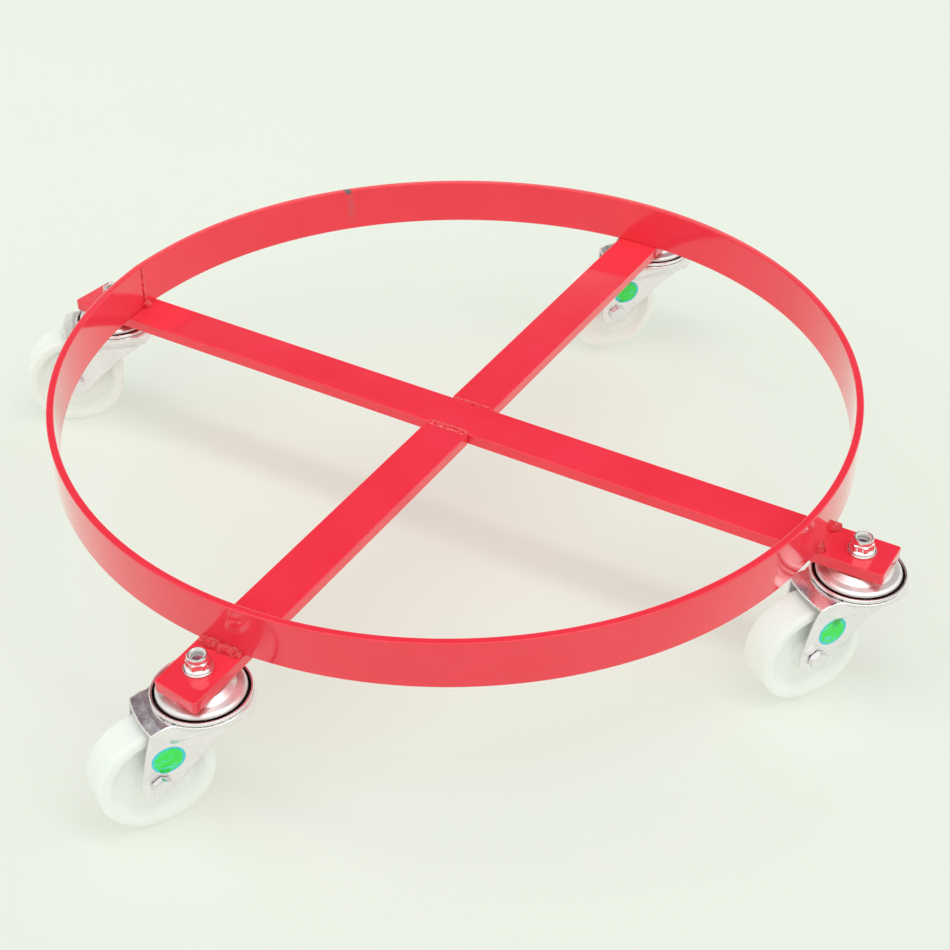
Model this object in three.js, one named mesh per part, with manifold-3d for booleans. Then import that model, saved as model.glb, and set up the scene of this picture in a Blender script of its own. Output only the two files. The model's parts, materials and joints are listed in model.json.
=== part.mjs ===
// Drum dolly: a rolled steel ring standing on a welded cross of flat bar, carried by four swivel casters.
//
// Frame, in millimetres, +Z up: the origin is on the ring's axis, at the top face of the cross bars, where
// the drum stands. +X runs along the long continuous bar towards the front right caster.

import * as THREE from "three";
import { mergeVertices } from "three/addons/utils/BufferGeometryUtils.js";
import Module from "manifold-3d";

// Ring: flat bar rolled on edge, closed by one upright butt weld.
const RING_OUTER_R = 303.5;
const RING_THICKNESS = 5.5;
const RING_HEIGHT = 37;
const RING_SEGMENTS = 96;
const RING_EDGE = 0.8;

// Cross: one long bar, and two half bars butted against its sides.
const BAR_WIDTH = 36;
const BAR_THICKNESS = 9;
const BAR_CORNER = 2.5;
const LONG_BAR_Y = -4.7;
const SHORT_BARS_X = 6.8;

// How far each arm's cut end and bolt hole are from the ring's axis. Two of the ends were cut a little askew.
const ARM_END = { front_left: 352.8, front_right: 350, rear_left: 355, rear_right: 353 };
const BOLT_REACH = { front_left: 327.1, front_right: 327.8, rear_left: 331.5, rear_right: 328.7 };
const FRONT_END_SKEW = 5;
const LEFT_END_SKEW = 4;
const ROOT_GAP = 0.3;

// Weld beads keep a small gap to what they join.
const WELD_GAP = 0.3;
const WELD_LEG = 6;
const WELD_INSET = 1.5;
const TACK_LENGTH = 8;
const FRONT_BUTT = { width: 9, rise: 1.8 };
const REAR_BUTT = { width: 5.4, rise: 0.9 };
const SEAM_BEAD_WIDTH = 5;
const SEAM_BEAD_RISE = 1.4;

// Mounting bolt, 3/8 inch, with a washer and a nylon insert lock nut above the bar.
const BOLT_R = 4.76;
const BOLT_HOLE_R = 5.2;
const BOLT_HEX = 14.3;
const BOLT_HEAD_HEIGHT = 6;
const BOLT_RECESS = 2.2;
const WASHER_R = 10.3;
const WASHER_THICKNESS = 1.6;
const NUT_HEX_HEIGHT = 6.8;
const NUT_COLLAR_HEIGHT = 3.9;
const NUT_COLLAR_R = 7;
const NUT_BORE_R = 4.95;

// Caster: its own frame has its origin on the swivel axis at the bar's underside, with +X trailing.
const SEAT_GAP = 0.2;
const SHEET = 2;
const WHEEL_R = 40;
const WHEEL_WIDTH = 28;
const AXLE_DROP = 60;
const TRAIL = 40;
const WHEEL_SEGMENTS = 30;
const SWIVEL_SEGMENTS = 24;

const CAP_R = 30;
const CAP_DROP = 8.2;
const RIM_R = 33.2;
const CROWN_TOP = -12;
const CROWN_HOLE_R = 8;
const SKIRT_R = 35.6;
const SKIRT_BOTTOM = -19.5;
const UPPER_BALL = { row: 21.5, r: 2.5, z: -9.2 };
const LOWER_BALL = { row: 11.2, r: 1.6, z: -15.9 };
const KING_PIN_R = 7.2;

const LEG_INSIDE = 14.9;
const LEG_END_R = 12.5;
const TONGUE_HALF_WIDTH = 20.5;

const AXLE_R = 4;
const AXLE_HEX = 13;
const AXLE_HEAD_HEIGHT = 5.3;
const AXLE_NUT_HEIGHT = 6.5;
const AXLE_HOLE_R = 4.15;
const BOSS_R = 9.8;
const BOSS_HEIGHT = 0.8;
const SLEEVE_R = 6;
const WHEEL_BORE_R = 6.1;

// Where each caster hangs, and the way its wheel trails, in degrees from +X.
const CASTERS = [
  { name: "front_left", x: SHORT_BARS_X, y: -BOLT_REACH.front_left, trail: 239.5 },
  { name: "front_right", x: BOLT_REACH.front_right, y: LONG_BAR_Y, trail: 236 },
  { name: "rear_left", x: -BOLT_REACH.rear_left, y: LONG_BAR_Y, trail: 221 },
  { name: "rear_right", x: SHORT_BARS_X, y: BOLT_REACH.rear_right, trail: 229.5 },
];

const redPaint = { color: 0xc4121a, roughness: 0.3, metalness: 0.0 };
const zinc = { color: 0xc9ccd2, roughness: 0.28, metalness: 1.0 };
const brightSteel = { color: 0xd9dadd, roughness: 0.15, metalness: 1.0 };
const nylon = { color: 0xeef0ea, roughness: 0.42, metalness: 0.0 };

const wasm = await Module();
wasm.setup();

// A closed mesh with its shared vertices merged and its faces pointing out.
function closed(geometry) {
  const bare = geometry.index ? geometry.toNonIndexed() : geometry.clone();
  bare.deleteAttribute("normal");
  bare.deleteAttribute("uv");
  const merged = mergeVertices(bare, 1e-4);
  const position = merged.attributes.position;
  const corner = [new THREE.Vector3(), new THREE.Vector3(), new THREE.Vector3()];
  const kept = [];
  let volume = 0;
  for (let i = 0; i < merged.index.count; i += 3) {
    const face = [0, 1, 2].map((k) => merged.index.getX(i + k));
    if (new Set(face).size < 3) continue;
    face.forEach((vertex, k) => corner[k].fromBufferAttribute(position, vertex));
    volume += corner[0].dot(corner[1].clone().cross(corner[2]));
    kept.push(face);
  }
  if (volume < 0) kept.forEach((face) => face.reverse());
  merged.setIndex(kept.flat());
  return merged;
}

// A manifold-3d solid of a geometry; a solid that an earlier cut made is passed through.
function toSolid(shape) {
  if (!shape.isBufferGeometry) return shape;
  const mesh = closed(shape);
  return new wasm.Manifold(
    new wasm.Mesh({
      numProp: 3,
      vertProperties: mesh.attributes.position.array,
      triVerts: new Uint32Array(mesh.index.array),
    }),
  );
}

function toGeometry(solid) {
  const { vertProperties, triVerts } = solid.getMesh();
  const geometry = new THREE.BufferGeometry();
  geometry.setAttribute("position", new THREE.BufferAttribute(new Float32Array(vertProperties), 3));
  geometry.setIndex(Array.from(triVerts));
  return geometry;
}

function join(...shapes) {
  return shapes.map(toSolid).reduce((whole, piece) => whole.add(piece));
}

function cut(shape, ...tools) {
  return tools.map(toSolid).reduce((whole, tool) => whole.subtract(tool), toSolid(shape));
}

function common(shape, other) {
  return toSolid(shape).intersect(toSolid(other));
}

// A ring about +Z from a closed outline of [radius, height] points.
function turned(outline, segments) {
  const points = [...outline, outline[0]].map(([r, z]) => new THREE.Vector2(r, z));
  return closed(new THREE.LatheGeometry(points, segments).rotateX(Math.PI / 2));
}

// A flat plate from an outline in X and Y, standing from z = 0 up to its thickness.
function plate(shape, thickness, curveSegments = 6) {
  return new THREE.ExtrudeGeometry(shape, { depth: thickness, bevelEnabled: false, curveSegments });
}

function block(xMin, xMax, yMin, yMax, zMin, zMax) {
  const box = new THREE.BoxGeometry(xMax - xMin, yMax - yMin, zMax - zMin);
  return box.translate((xMin + xMax) / 2, (yMin + yMax) / 2, (zMin + zMax) / 2);
}

// A round bar on +Z between two heights.
function rod(r, zMin, zMax, segments = 16) {
  const cylinder = new THREE.CylinderGeometry(r, r, zMax - zMin, segments);
  return cylinder.rotateX(Math.PI / 2).translate(0, 0, (zMin + zMax) / 2);
}

// A hexagonal bar on +Z, given by its width across flats.
function hexagon(acrossFlats, zMin, zMax) {
  return rod(acrossFlats / Math.sqrt(3), zMin, zMax, 6);
}

function circle(x, y, r) {
  return new THREE.Path().absarc(x, y, r, 0, 2 * Math.PI, false);
}

const dolly = new THREE.Group();

function addMesh(parent, name, geometry, finish) {
  const mesh = new THREE.Mesh(geometry, new THREE.MeshStandardMaterial(finish));
  mesh.name = name;
  mesh.geometry.computeVertexNormals();
  parent.add(mesh);
  return mesh;
}

// ---- Ring ----

const ringInnerR = RING_OUTER_R - RING_THICKNESS;
const ringSection = [
  [ringInnerR, 0],
  [RING_OUTER_R, 0],
  [RING_OUTER_R, RING_HEIGHT - RING_EDGE],
  [RING_OUTER_R - RING_EDGE, RING_HEIGHT],
  [ringInnerR + RING_EDGE, RING_HEIGHT],
  [ringInnerR, RING_HEIGHT - RING_EDGE],
];
addMesh(dolly, "ring", turned(ringSection, RING_SEGMENTS), redPaint);

// The upright bead inside the ring where the rolled bar's ends meet, over the rear left arm.
function seamBead() {
  const shape = new THREE.Shape();
  shape.moveTo(0, -SEAM_BEAD_WIDTH / 2);
  shape.quadraticCurveTo(2 * SEAM_BEAD_RISE, 0, 0, SEAM_BEAD_WIDTH / 2);
  shape.closePath();
  const foot = WELD_LEG + 1.5;
  const bead = plate(shape, RING_HEIGHT - 1.5 - foot, 8);
  return bead.translate(-ringInnerR * Math.cos(Math.PI / RING_SEGMENTS) + WELD_GAP, 0, foot);
}
addMesh(dolly, "ring_seam_weld", seamBead(), redPaint);

// ---- Cross ----

// A bar along X with rounded corners at its free ends. A skew moves the end outwards by half of it along the
// bar's -Y edge, and inwards by half of it along the +Y edge.
function barOutline(start, end, { freeStart = false, startSkew = 0, endSkew = 0 }) {
  const shape = new THREE.Shape();
  const half = BAR_WIDTH / 2;
  const c = BAR_CORNER;
  if (freeStart) {
    const low = start - startSkew / 2;
    const high = start + startSkew / 2;
    shape.moveTo(high + c, half);
    shape.quadraticCurveTo(high, half, high, half - c);
    shape.lineTo(low, c - half);
    shape.quadraticCurveTo(low, -half, low + c, -half);
  } else {
    shape.moveTo(start, half);
    shape.lineTo(start, -half);
  }
  const low = end + endSkew / 2;
  const high = end - endSkew / 2;
  shape.lineTo(low - c, -half);
  shape.quadraticCurveTo(low, -half, low, c - half);
  shape.lineTo(high, half - c);
  shape.quadraticCurveTo(high, half, high - c, half);
  shape.closePath();
  return shape;
}

// The V groove that a butt joint's bars are bevelled to, along X on the joint's line.
function vGroove(width) {
  const shape = new THREE.Shape();
  shape.moveTo(-width / 2 - 1, 1);
  shape.lineTo(0, -width / 2);
  shape.lineTo(width / 2 + 1, 1);
  shape.closePath();
  const groove = plate(shape, BAR_WIDTH);
  return groove.rotateY(Math.PI / 2).rotateX(Math.PI / 2).translate(SHORT_BARS_X - BAR_WIDTH / 2, 0, 0);
}

// The bead that fills such a groove, with a low crown above the bars' top face.
function buttBead({ width, rise }) {
  const shape = new THREE.Shape();
  const half = width / 2 - WELD_GAP;
  shape.moveTo(-half, 0);
  shape.lineTo(0, -half);
  shape.lineTo(half, 0);
  shape.quadraticCurveTo(0, 2 * rise, -half, 0);
  const bead = plate(shape, BAR_WIDTH, 8);
  return bead.rotateY(Math.PI / 2).rotateX(Math.PI / 2).translate(SHORT_BARS_X - BAR_WIDTH / 2, 0, 0);
}

const frontJointY = LONG_BAR_Y - BAR_WIDTH / 2 - ROOT_GAP / 2;
const rearJointY = LONG_BAR_Y + BAR_WIDTH / 2 + ROOT_GAP / 2;
const frontGroove = vGroove(FRONT_BUTT.width).translate(0, frontJointY, 0);
const rearGroove = vGroove(REAR_BUTT.width).translate(0, rearJointY, 0);

// The bars are relieved by a hair under the ring and its inside tack, where the real weld fuses them.
const ringFoot = turned(
  [
    [ringInnerR - 1, -WELD_GAP],
    [RING_OUTER_R + 1, -WELD_GAP],
    [RING_OUTER_R + 1, 1],
    [ringInnerR - 1, 1],
  ],
  RING_SEGMENTS,
);
const tackFoot = block(
  1 - ringInnerR,
  WELD_LEG + 2 - ringInnerR,
  -TACK_LENGTH / 2 - WELD_GAP,
  TACK_LENGTH / 2 + WELD_GAP,
  -WELD_GAP,
  1,
);

const longOutline = barOutline(-ARM_END.rear_left, ARM_END.front_right, {
  freeStart: true,
  startSkew: LEFT_END_SKEW,
});
longOutline.holes.push(circle(-BOLT_REACH.rear_left, 0, BOLT_HOLE_R));
longOutline.holes.push(circle(BOLT_REACH.front_right, 0, BOLT_HOLE_R));
const longBlank = plate(longOutline, BAR_THICKNESS).translate(0, LONG_BAR_Y, -BAR_THICKNESS);
const longBar = cut(longBlank, frontGroove, rearGroove, ringFoot, tackFoot);
addMesh(dolly, "long_cross_bar", toGeometry(longBar), redPaint);

// The half bars run outwards along their own +X, then turn to the front (-Y) or the rear (+Y).
function shortBar(direction, end, boltReach, endSkew) {
  const start = direction * LONG_BAR_Y + BAR_WIDTH / 2 + ROOT_GAP;
  const outline = barOutline(start, end, { endSkew });
  outline.holes.push(circle(boltReach, 0, BOLT_HOLE_R));
  const blank = plate(outline, BAR_THICKNESS).rotateZ((direction * Math.PI) / 2);
  return blank.translate(SHORT_BARS_X, 0, -BAR_THICKNESS);
}
const frontBlank = shortBar(-1, ARM_END.front_left, BOLT_REACH.front_left, -FRONT_END_SKEW);
const frontBar = cut(frontBlank, frontGroove, ringFoot);
addMesh(dolly, "short_cross_bar_front", toGeometry(frontBar), redPaint);
const rearBlank = shortBar(1, ARM_END.rear_right, BOLT_REACH.rear_right, 0);
const rearBar = cut(rearBlank, rearGroove, ringFoot);
addMesh(dolly, "short_cross_bar_rear", toGeometry(rearBar), redPaint);

addMesh(dolly, "cross_weld_front", buttBead(FRONT_BUTT).translate(0, frontJointY, 0), redPaint);
addMesh(dolly, "cross_weld_rear", buttBead(REAR_BUTT).translate(0, rearJointY, 0), redPaint);

// ---- Welds between the ring and the arms ----

// A full circle of fillet bead, of which each joint takes a short stretch. side is +1 outside, -1 inside.
function filletRing(side) {
  const flatsInside = ringInnerR * Math.cos(Math.PI / RING_SEGMENTS);
  const wall = side > 0 ? RING_OUTER_R + WELD_GAP : flatsInside - WELD_GAP;
  const bulge = WELD_LEG * 0.66;
  return turned(
    [
      [wall, WELD_GAP],
      [wall + side * WELD_LEG, WELD_GAP],
      [wall + side * bulge, WELD_GAP + bulge],
      [wall, WELD_GAP + WELD_LEG],
    ],
    RING_SEGMENTS,
  );
}

const outerFillet = filletRing(1);
const innerFillet = filletRing(-1);
const beadHalf = BAR_WIDTH / 2 - WELD_INSET;
const far = RING_OUTER_R + 20;
const near = RING_OUTER_R - 80;

const barFront = LONG_BAR_Y - beadHalf;
const barRear = LONG_BAR_Y + beadHalf;
const ringWelds = {
  ring_weld_front_left: [outerFillet, SHORT_BARS_X - beadHalf, SHORT_BARS_X + beadHalf, -far, -near],
  ring_weld_rear_right: [outerFillet, SHORT_BARS_X - beadHalf, SHORT_BARS_X + beadHalf, near, far],
  ring_weld_front_right_a: [outerFillet, near, far, barFront, barFront + TACK_LENGTH],
  ring_weld_front_right_b: [outerFillet, near, far, barRear - TACK_LENGTH, barRear],
  ring_weld_rear_left: [innerFillet, -far, -near, -TACK_LENGTH / 2, TACK_LENGTH / 2],
};
for (const [name, [fillet, xMin, xMax, yMin, yMax]] of Object.entries(ringWelds)) {
  const bead = common(fillet, block(xMin, xMax, yMin, yMax, -1, RING_HEIGHT));
  addMesh(dolly, name, toGeometry(bead), redPaint);
}

// ---- Caster pieces, each in the caster's own frame ----

const capBottom = -CAP_DROP;
const crownBottom = CROWN_TOP - SHEET;
const legOutside = LEG_INSIDE + SHEET;

// Pressed top cap: flat where it meets the bar, then falling to a rim over the ball race.
const topCap = turned(
  [
    [BOLT_HOLE_R, -SEAT_GAP],
    [13, -SEAT_GAP],
    [19, -1.6],
    [25, -5],
    [29, -6],
    [CAP_R, capBottom],
    [28.2, capBottom],
    [23.5, -7],
    [12.6, -SEAT_GAP - SHEET],
    [BOLT_HOLE_R, -SEAT_GAP - SHEET],
  ],
  SWIVEL_SEGMENTS,
);

// A row of balls, as the ring that it sweeps.
function ballRing({ row, r, z }) {
  const ball = new THREE.TorusGeometry(row, r, 5, 16);
  return closed(ball.translate(0, 0, z));
}

// Hollow rivet and lower race in one: its tube passes the crown, its dish carries the lower balls.
const raceSeat = -19.1;
const lowerRace = turned(
  [
    [BOLT_HOLE_R, -2.6],
    [KING_PIN_R, -2.6],
    [KING_PIN_R, -16.8],
    [9.2, -17.9],
    [12, -17.9],
    [13.3, -16.5],
    [14.5, -16.5],
    [13.6, -19.1],
    [BOLT_HOLE_R, raceSeat],
  ],
  16,
);

const boltHeadTop = raceSeat - SEAT_GAP;
const washerBottom = BAR_THICKNESS + SEAT_GAP;
const nutBottom = washerBottom + WASHER_THICKNESS + SEAT_GAP;
const nutTop = nutBottom + NUT_HEX_HEIGHT + NUT_COLLAR_HEIGHT;
const mountingBolt = toGeometry(
  join(
    rod(BOLT_R, boltHeadTop - 1, nutTop - BOLT_RECESS),
    hexagon(BOLT_HEX, boltHeadTop - BOLT_HEAD_HEIGHT, boltHeadTop),
  ),
);
const washer = turned(
  [
    [BOLT_HOLE_R, washerBottom],
    [WASHER_R, washerBottom],
    [WASHER_R, washerBottom + WASHER_THICKNESS],
    [BOLT_HOLE_R, washerBottom + WASHER_THICKNESS],
  ],
  16,
);
const lockNutBody = join(
  hexagon(BOLT_HEX, nutBottom, nutBottom + NUT_HEX_HEIGHT),
  rod(NUT_COLLAR_R, nutBottom + NUT_HEX_HEIGHT - 0.5, nutTop, 16),
);
const lockNut = toGeometry(cut(lockNutBody, rod(NUT_BORE_R, nutBottom - 1, nutTop + 1, 16)));

// Fork crown: the race plate, its rolled rim round the cap, and the flared skirt below.
const crownDish = turned(
  [
    [CROWN_HOLE_R, CROWN_TOP],
    [28, CROWN_TOP],
    [31.2, -10.2],
    [31.7, capBottom],
    [32.7, capBottom],
    [RIM_R, -9.6],
    [34.9, -13.2],
    [SKIRT_R, -16.8],
    [SKIRT_R - 0.6, SKIRT_BOTTOM],
    [28, -27],
    [14, -34],
    [13, -32],
    [26.6, -25.4],
    [33.2, SKIRT_BOTTOM],
    [31.8, crownBottom],
    [CROWN_HOLE_R, crownBottom],
  ],
  SWIVEL_SEGMENTS,
);

// Side plate: outline in the caster's X and Z, with a round end about the axle.
function legOutline() {
  const shape = new THREE.Shape();
  const rearAngle = THREE.MathUtils.degToRad(8);
  const frontAngle = THREE.MathUtils.degToRad(228);
  shape.moveTo(-25, crownBottom + 0.5);
  shape.lineTo(29, crownBottom + 0.5);
  shape.lineTo(43, -17.4);
  shape.lineTo(TRAIL + LEG_END_R * Math.cos(rearAngle), -AXLE_DROP + LEG_END_R * Math.sin(rearAngle));
  shape.absarc(TRAIL, -AXLE_DROP, LEG_END_R, rearAngle, frontAngle - 2 * Math.PI, true);
  shape.quadraticCurveTo(17, -53, -21, -29);
  shape.closePath();
  shape.holes.push(circle(TRAIL, -AXLE_DROP, AXLE_HOLE_R));
  return shape;
}
const leg = plate(legOutline(), SHEET, 7).rotateX(Math.PI / 2);
const boss = turned(
  [
    [AXLE_HOLE_R, -0.5],
    [BOSS_R, -0.5],
    [BOSS_R, BOSS_HEIGHT / 2],
    [BOSS_R - 0.8, BOSS_HEIGHT],
    [AXLE_HOLE_R, BOSS_HEIGHT],
  ],
  20,
).translate(0, 0, legOutside);
const bossPlus = boss.clone().rotateX(-Math.PI / 2).translate(TRAIL, 0, -AXLE_DROP);
const bossMinus = boss.clone().rotateX(Math.PI / 2).translate(TRAIL, 0, -AXLE_DROP);
const legPlus = leg.clone().translate(0, legOutside, 0);
const legMinus = leg.clone().translate(0, -LEG_INSIDE, 0);

// Tongue: the strip of the blank left standing over the wheel, sloping down behind the race.
function tongue() {
  const shape = new THREE.Shape();
  shape.moveTo(22, CROWN_TOP - 0.3);
  shape.lineTo(30, -11.3);
  shape.lineTo(36, -11.9);
  shape.lineTo(44, -14.4);
  shape.lineTo(43.4, -16.3);
  shape.lineTo(35.4, -13.9);
  shape.lineTo(30, -13.3);
  shape.lineTo(22, crownBottom);
  shape.closePath();
  return plate(shape, 2 * TONGUE_HALF_WIDTH).rotateX(Math.PI / 2).translate(0, TONGUE_HALF_WIDTH, 0);
}

// The skirt stays closed at the front; the wheel's slot and the tongue's gap open it behind.
const slotHalf = LEG_INSIDE - 0.1;
const tongueGapHalf = TONGUE_HALF_WIDTH + 1;
const openSkirt = cut(
  crownDish,
  block(-60, 60, -slotHalf, slotHalf, -40, SKIRT_BOTTOM + 0.4),
  block(-4, 60, -slotHalf, slotHalf, -40, crownBottom - 0.2),
  block(24, 60, -tongueGapHalf, tongueGapHalf, -40, -13.2),
);
const fork = toGeometry(join(openSkirt, legPlus, legMinus, bossPlus, bossMinus, tongue()));

// Axle pieces lie along +Z here and are turned to the caster's Y when placed.
const axleHeadBase = legOutside + BOSS_HEIGHT + SEAT_GAP;
const axleBolt = toGeometry(
  join(
    rod(AXLE_R, -axleHeadBase - AXLE_NUT_HEIGHT - 1.2, axleHeadBase + 1),
    hexagon(AXLE_HEX, axleHeadBase, axleHeadBase + AXLE_HEAD_HEIGHT),
  ),
);
const axleNutBlank = hexagon(AXLE_HEX, -axleHeadBase - AXLE_NUT_HEIGHT, -axleHeadBase);
const axleNut = toGeometry(cut(axleNutBlank, rod(AXLE_HOLE_R, -axleHeadBase - 20, -axleHeadBase + 20)));
const sleeveHalf = LEG_INSIDE - SEAT_GAP;
const axleSleeve = turned(
  [
    [AXLE_HOLE_R, -sleeveHalf],
    [SLEEVE_R, -sleeveHalf],
    [SLEEVE_R, sleeveHalf],
    [AXLE_HOLE_R, sleeveHalf],
  ],
  16,
);

// Wheel: crowned tread, a rim dished down to the web on each side, and a hub as wide as the wheel.
const wheelHalf = WHEEL_WIDTH / 2;
const wheelSide = [
  [WHEEL_BORE_R, wheelHalf],
  [11.5, wheelHalf],
  [13.5, 8],
  [29, 8],
  [34.5, wheelHalf],
  [38.8, wheelHalf],
  [WHEEL_R, 11.5],
];
const wheelOutline = [...wheelSide, ...wheelSide.map(([r, z]) => [r, -z]).reverse()];
const wheel = turned(wheelOutline, WHEEL_SEGMENTS).rotateZ(Math.PI / WHEEL_SEGMENTS);

// ---- Casters in place ----

for (const { name, x, y, trail } of CASTERS) {
  const caster = new THREE.Group();
  caster.position.set(x, y, -BAR_THICKNESS);
  caster.rotation.z = THREE.MathUtils.degToRad(trail);
  dolly.add(caster);

  addMesh(caster, `mounting_bolt_${name}`, mountingBolt.clone(), brightSteel);
  addMesh(caster, `washer_${name}`, washer.clone(), brightSteel);
  addMesh(caster, `lock_nut_${name}`, lockNut.clone(), brightSteel);
  addMesh(caster, `top_cap_${name}`, topCap.clone(), zinc);
  addMesh(caster, `lower_race_${name}`, lowerRace.clone(), zinc);
  addMesh(caster, `upper_ball_ring_${name}`, ballRing(UPPER_BALL), brightSteel);
  addMesh(caster, `lower_ball_ring_${name}`, ballRing(LOWER_BALL), brightSteel);
  addMesh(caster, `fork_${name}`, fork.clone(), zinc);

  const axle = new THREE.Group();
  axle.position.set(TRAIL, 0, -AXLE_DROP);
  axle.rotation.x = -Math.PI / 2;
  caster.add(axle);
  addMesh(axle, `axle_bolt_${name}`, axleBolt.clone(), zinc);
  addMesh(axle, `axle_nut_${name}`, axleNut.clone(), zinc);
  addMesh(axle, `axle_sleeve_${name}`, axleSleeve.clone(), brightSteel);
  addMesh(axle, `wheel_${name}`, wheel.clone(), nylon);
}

export default dolly;
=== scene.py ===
"""Drum dolly: the looks of a rolled steel ring on a welded cross of flat bar, carried by four swivel casters.

Lengths are in millimetres until a mesh is made, which is in metres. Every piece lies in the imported
model's frame: the origin is on the ring's axis at the cross bars' top face, and +Z is up.
"""

import json
import math

import bmesh
import bpy
import numpy as np
from mathutils import Matrix, Vector
from mathutils.bvhtree import BVHTree


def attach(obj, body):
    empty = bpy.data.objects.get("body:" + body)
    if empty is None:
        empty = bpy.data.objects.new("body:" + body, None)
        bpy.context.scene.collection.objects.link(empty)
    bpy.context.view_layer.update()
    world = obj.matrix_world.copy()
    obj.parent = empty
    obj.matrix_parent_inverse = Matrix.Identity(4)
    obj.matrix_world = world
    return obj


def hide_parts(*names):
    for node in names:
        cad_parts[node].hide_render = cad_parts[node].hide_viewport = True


MM = 0.001

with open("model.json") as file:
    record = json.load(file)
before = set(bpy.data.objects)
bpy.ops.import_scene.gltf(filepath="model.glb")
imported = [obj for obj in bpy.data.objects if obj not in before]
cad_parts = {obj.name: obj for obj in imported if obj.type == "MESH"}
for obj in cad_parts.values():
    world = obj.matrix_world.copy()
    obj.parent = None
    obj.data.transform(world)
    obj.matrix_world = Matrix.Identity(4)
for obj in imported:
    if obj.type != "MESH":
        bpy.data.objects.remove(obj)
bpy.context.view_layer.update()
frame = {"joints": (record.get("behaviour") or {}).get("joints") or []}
joints = {joint["name"]: joint for joint in frame["joints"]}
CASTERS = ("front_left", "front_right", "rear_left", "rear_right")
# For each caster's label: the leg that it is on, its place on it in millimetres, and its lean in radians.
LABELS = {
    "front_left": (1, 32.7, -42.0, 0.2),
    "front_right": (1, 28.8, -40.3, -0.9),
    "rear_left": (-1, 31, -41, 0.0),
    "rear_right": (1, 31, -41, -0.3),
}

# ---- Sizes, in millimetres ----

RING_R = 303.5
RING_THICKNESS = 5.5
RING_HEIGHT = 37
SEAM_ANGLE = math.pi
CHIP_AT = (-227.4, 193.5)

BAR_WIDTH = 36
BAR_THICKNESS = 9
BAR_EDGE_R = 0.7
LONG_BAR_Y = -4.7
SHORT_BARS_X = 6.8
BOLT_HOLE_R = 5.2

WASHER_R = 10.3
NUT_HEX = 14.3
BOLT_R = 4.76
KING_BORE_R = 5.3
THREAD_BORE_R = 4.9

TRAIL = 40
AXLE_DROP = 60
AXLE_R = 4
AXLE_HEX = 13
AXLE_HOLE_R = 4.15
SHEET = 2
LEG_OUTSIDE = 16.9
BOSS_HEIGHT = 0.8
TONGUE_HALF = 20.5
FORK_GRID = 0.65
WHEEL_R = 40
WHEEL_HALF = 14
LABEL_R = 11


# ---- Mesh tools ----


def quads(rows, columns, close_rows=False, close_columns=False):
    """Faces of a grid of vertices that is stored row by row."""
    faces = []
    for i in range(rows if close_rows else rows - 1):
        for j in range(columns if close_columns else columns - 1):
            a, b = i * columns, (i + 1) % rows * columns
            k = (j + 1) % columns
            faces.append((a + j, b + j, b + k, a + k))
    return faces


def about_z(r, angle, z):
    """Points on circles about Z, from radii, angles and heights that broadcast together."""
    r, angle, z = np.broadcast_arrays(r, angle, z)
    return np.stack([r * np.cos(angle), r * np.sin(angle), z], -1)


def merged(*parts):
    """One (vertices, faces) pair from several."""
    vertices, faces, count = [], [], 0
    for part_vertices, part_faces in parts:
        vertices.append(np.asarray(part_vertices, float).reshape(-1, 3))
        faces += [tuple(index + count for index in face) for face in part_faces]
        count += len(vertices[-1])
    return np.concatenate(vertices), faces


def moved(part, matrix):
    """A (vertices, faces) pair after a rotation and a shift."""
    vertices, faces = part
    rotation = np.array(matrix.to_3x3())
    return np.asarray(vertices) @ rotation.T + np.array(matrix.translation), faces


def make_mesh(name, part, *materials, sharp=None):
    """A mesh in metres, smooth shaded, with outward faces and coincident vertices welded.

    Edges that turn by more than the angle sharp, in degrees, stay crisp.
    """
    vertices, faces = part
    mesh = bpy.data.meshes.new(name)
    mesh.from_pydata((np.asarray(vertices) * MM).tolist(), [], faces)
    work = bmesh.new()
    work.from_mesh(mesh)
    bmesh.ops.remove_doubles(work, verts=work.verts, dist=0.01 * MM)
    bmesh.ops.dissolve_degenerate(work, edges=work.edges, dist=1e-7)
    bmesh.ops.recalc_face_normals(work, faces=work.faces)
    work.to_mesh(mesh)
    work.free()
    for material in materials:
        mesh.materials.append(material)
    mesh.shade_smooth()
    if sharp:
        mesh.set_sharp_from_angle(angle=math.radians(sharp))
    return mesh


def place(mesh, name, body, nodes=(), slot=None, matrix=None):
    """An object that rides on a body and stands for some CAD nodes. The slot argument is not used."""
    if matrix:
        mesh = mesh.copy()
        mesh.transform(matrix)
    piece = bpy.data.objects.new(name, mesh)
    bpy.context.scene.collection.objects.link(piece)
    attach(piece, body)
    if nodes:
        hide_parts(*nodes)
    return piece


def evaluated(shape):
    """A helper object's finished mesh. The helper itself is removed."""
    bpy.context.scene.collection.objects.link(shape)
    mesh = bpy.data.meshes.new_from_object(shape.evaluated_get(bpy.context.evaluated_depsgraph_get()))
    bpy.data.objects.remove(shape)
    return mesh


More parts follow.
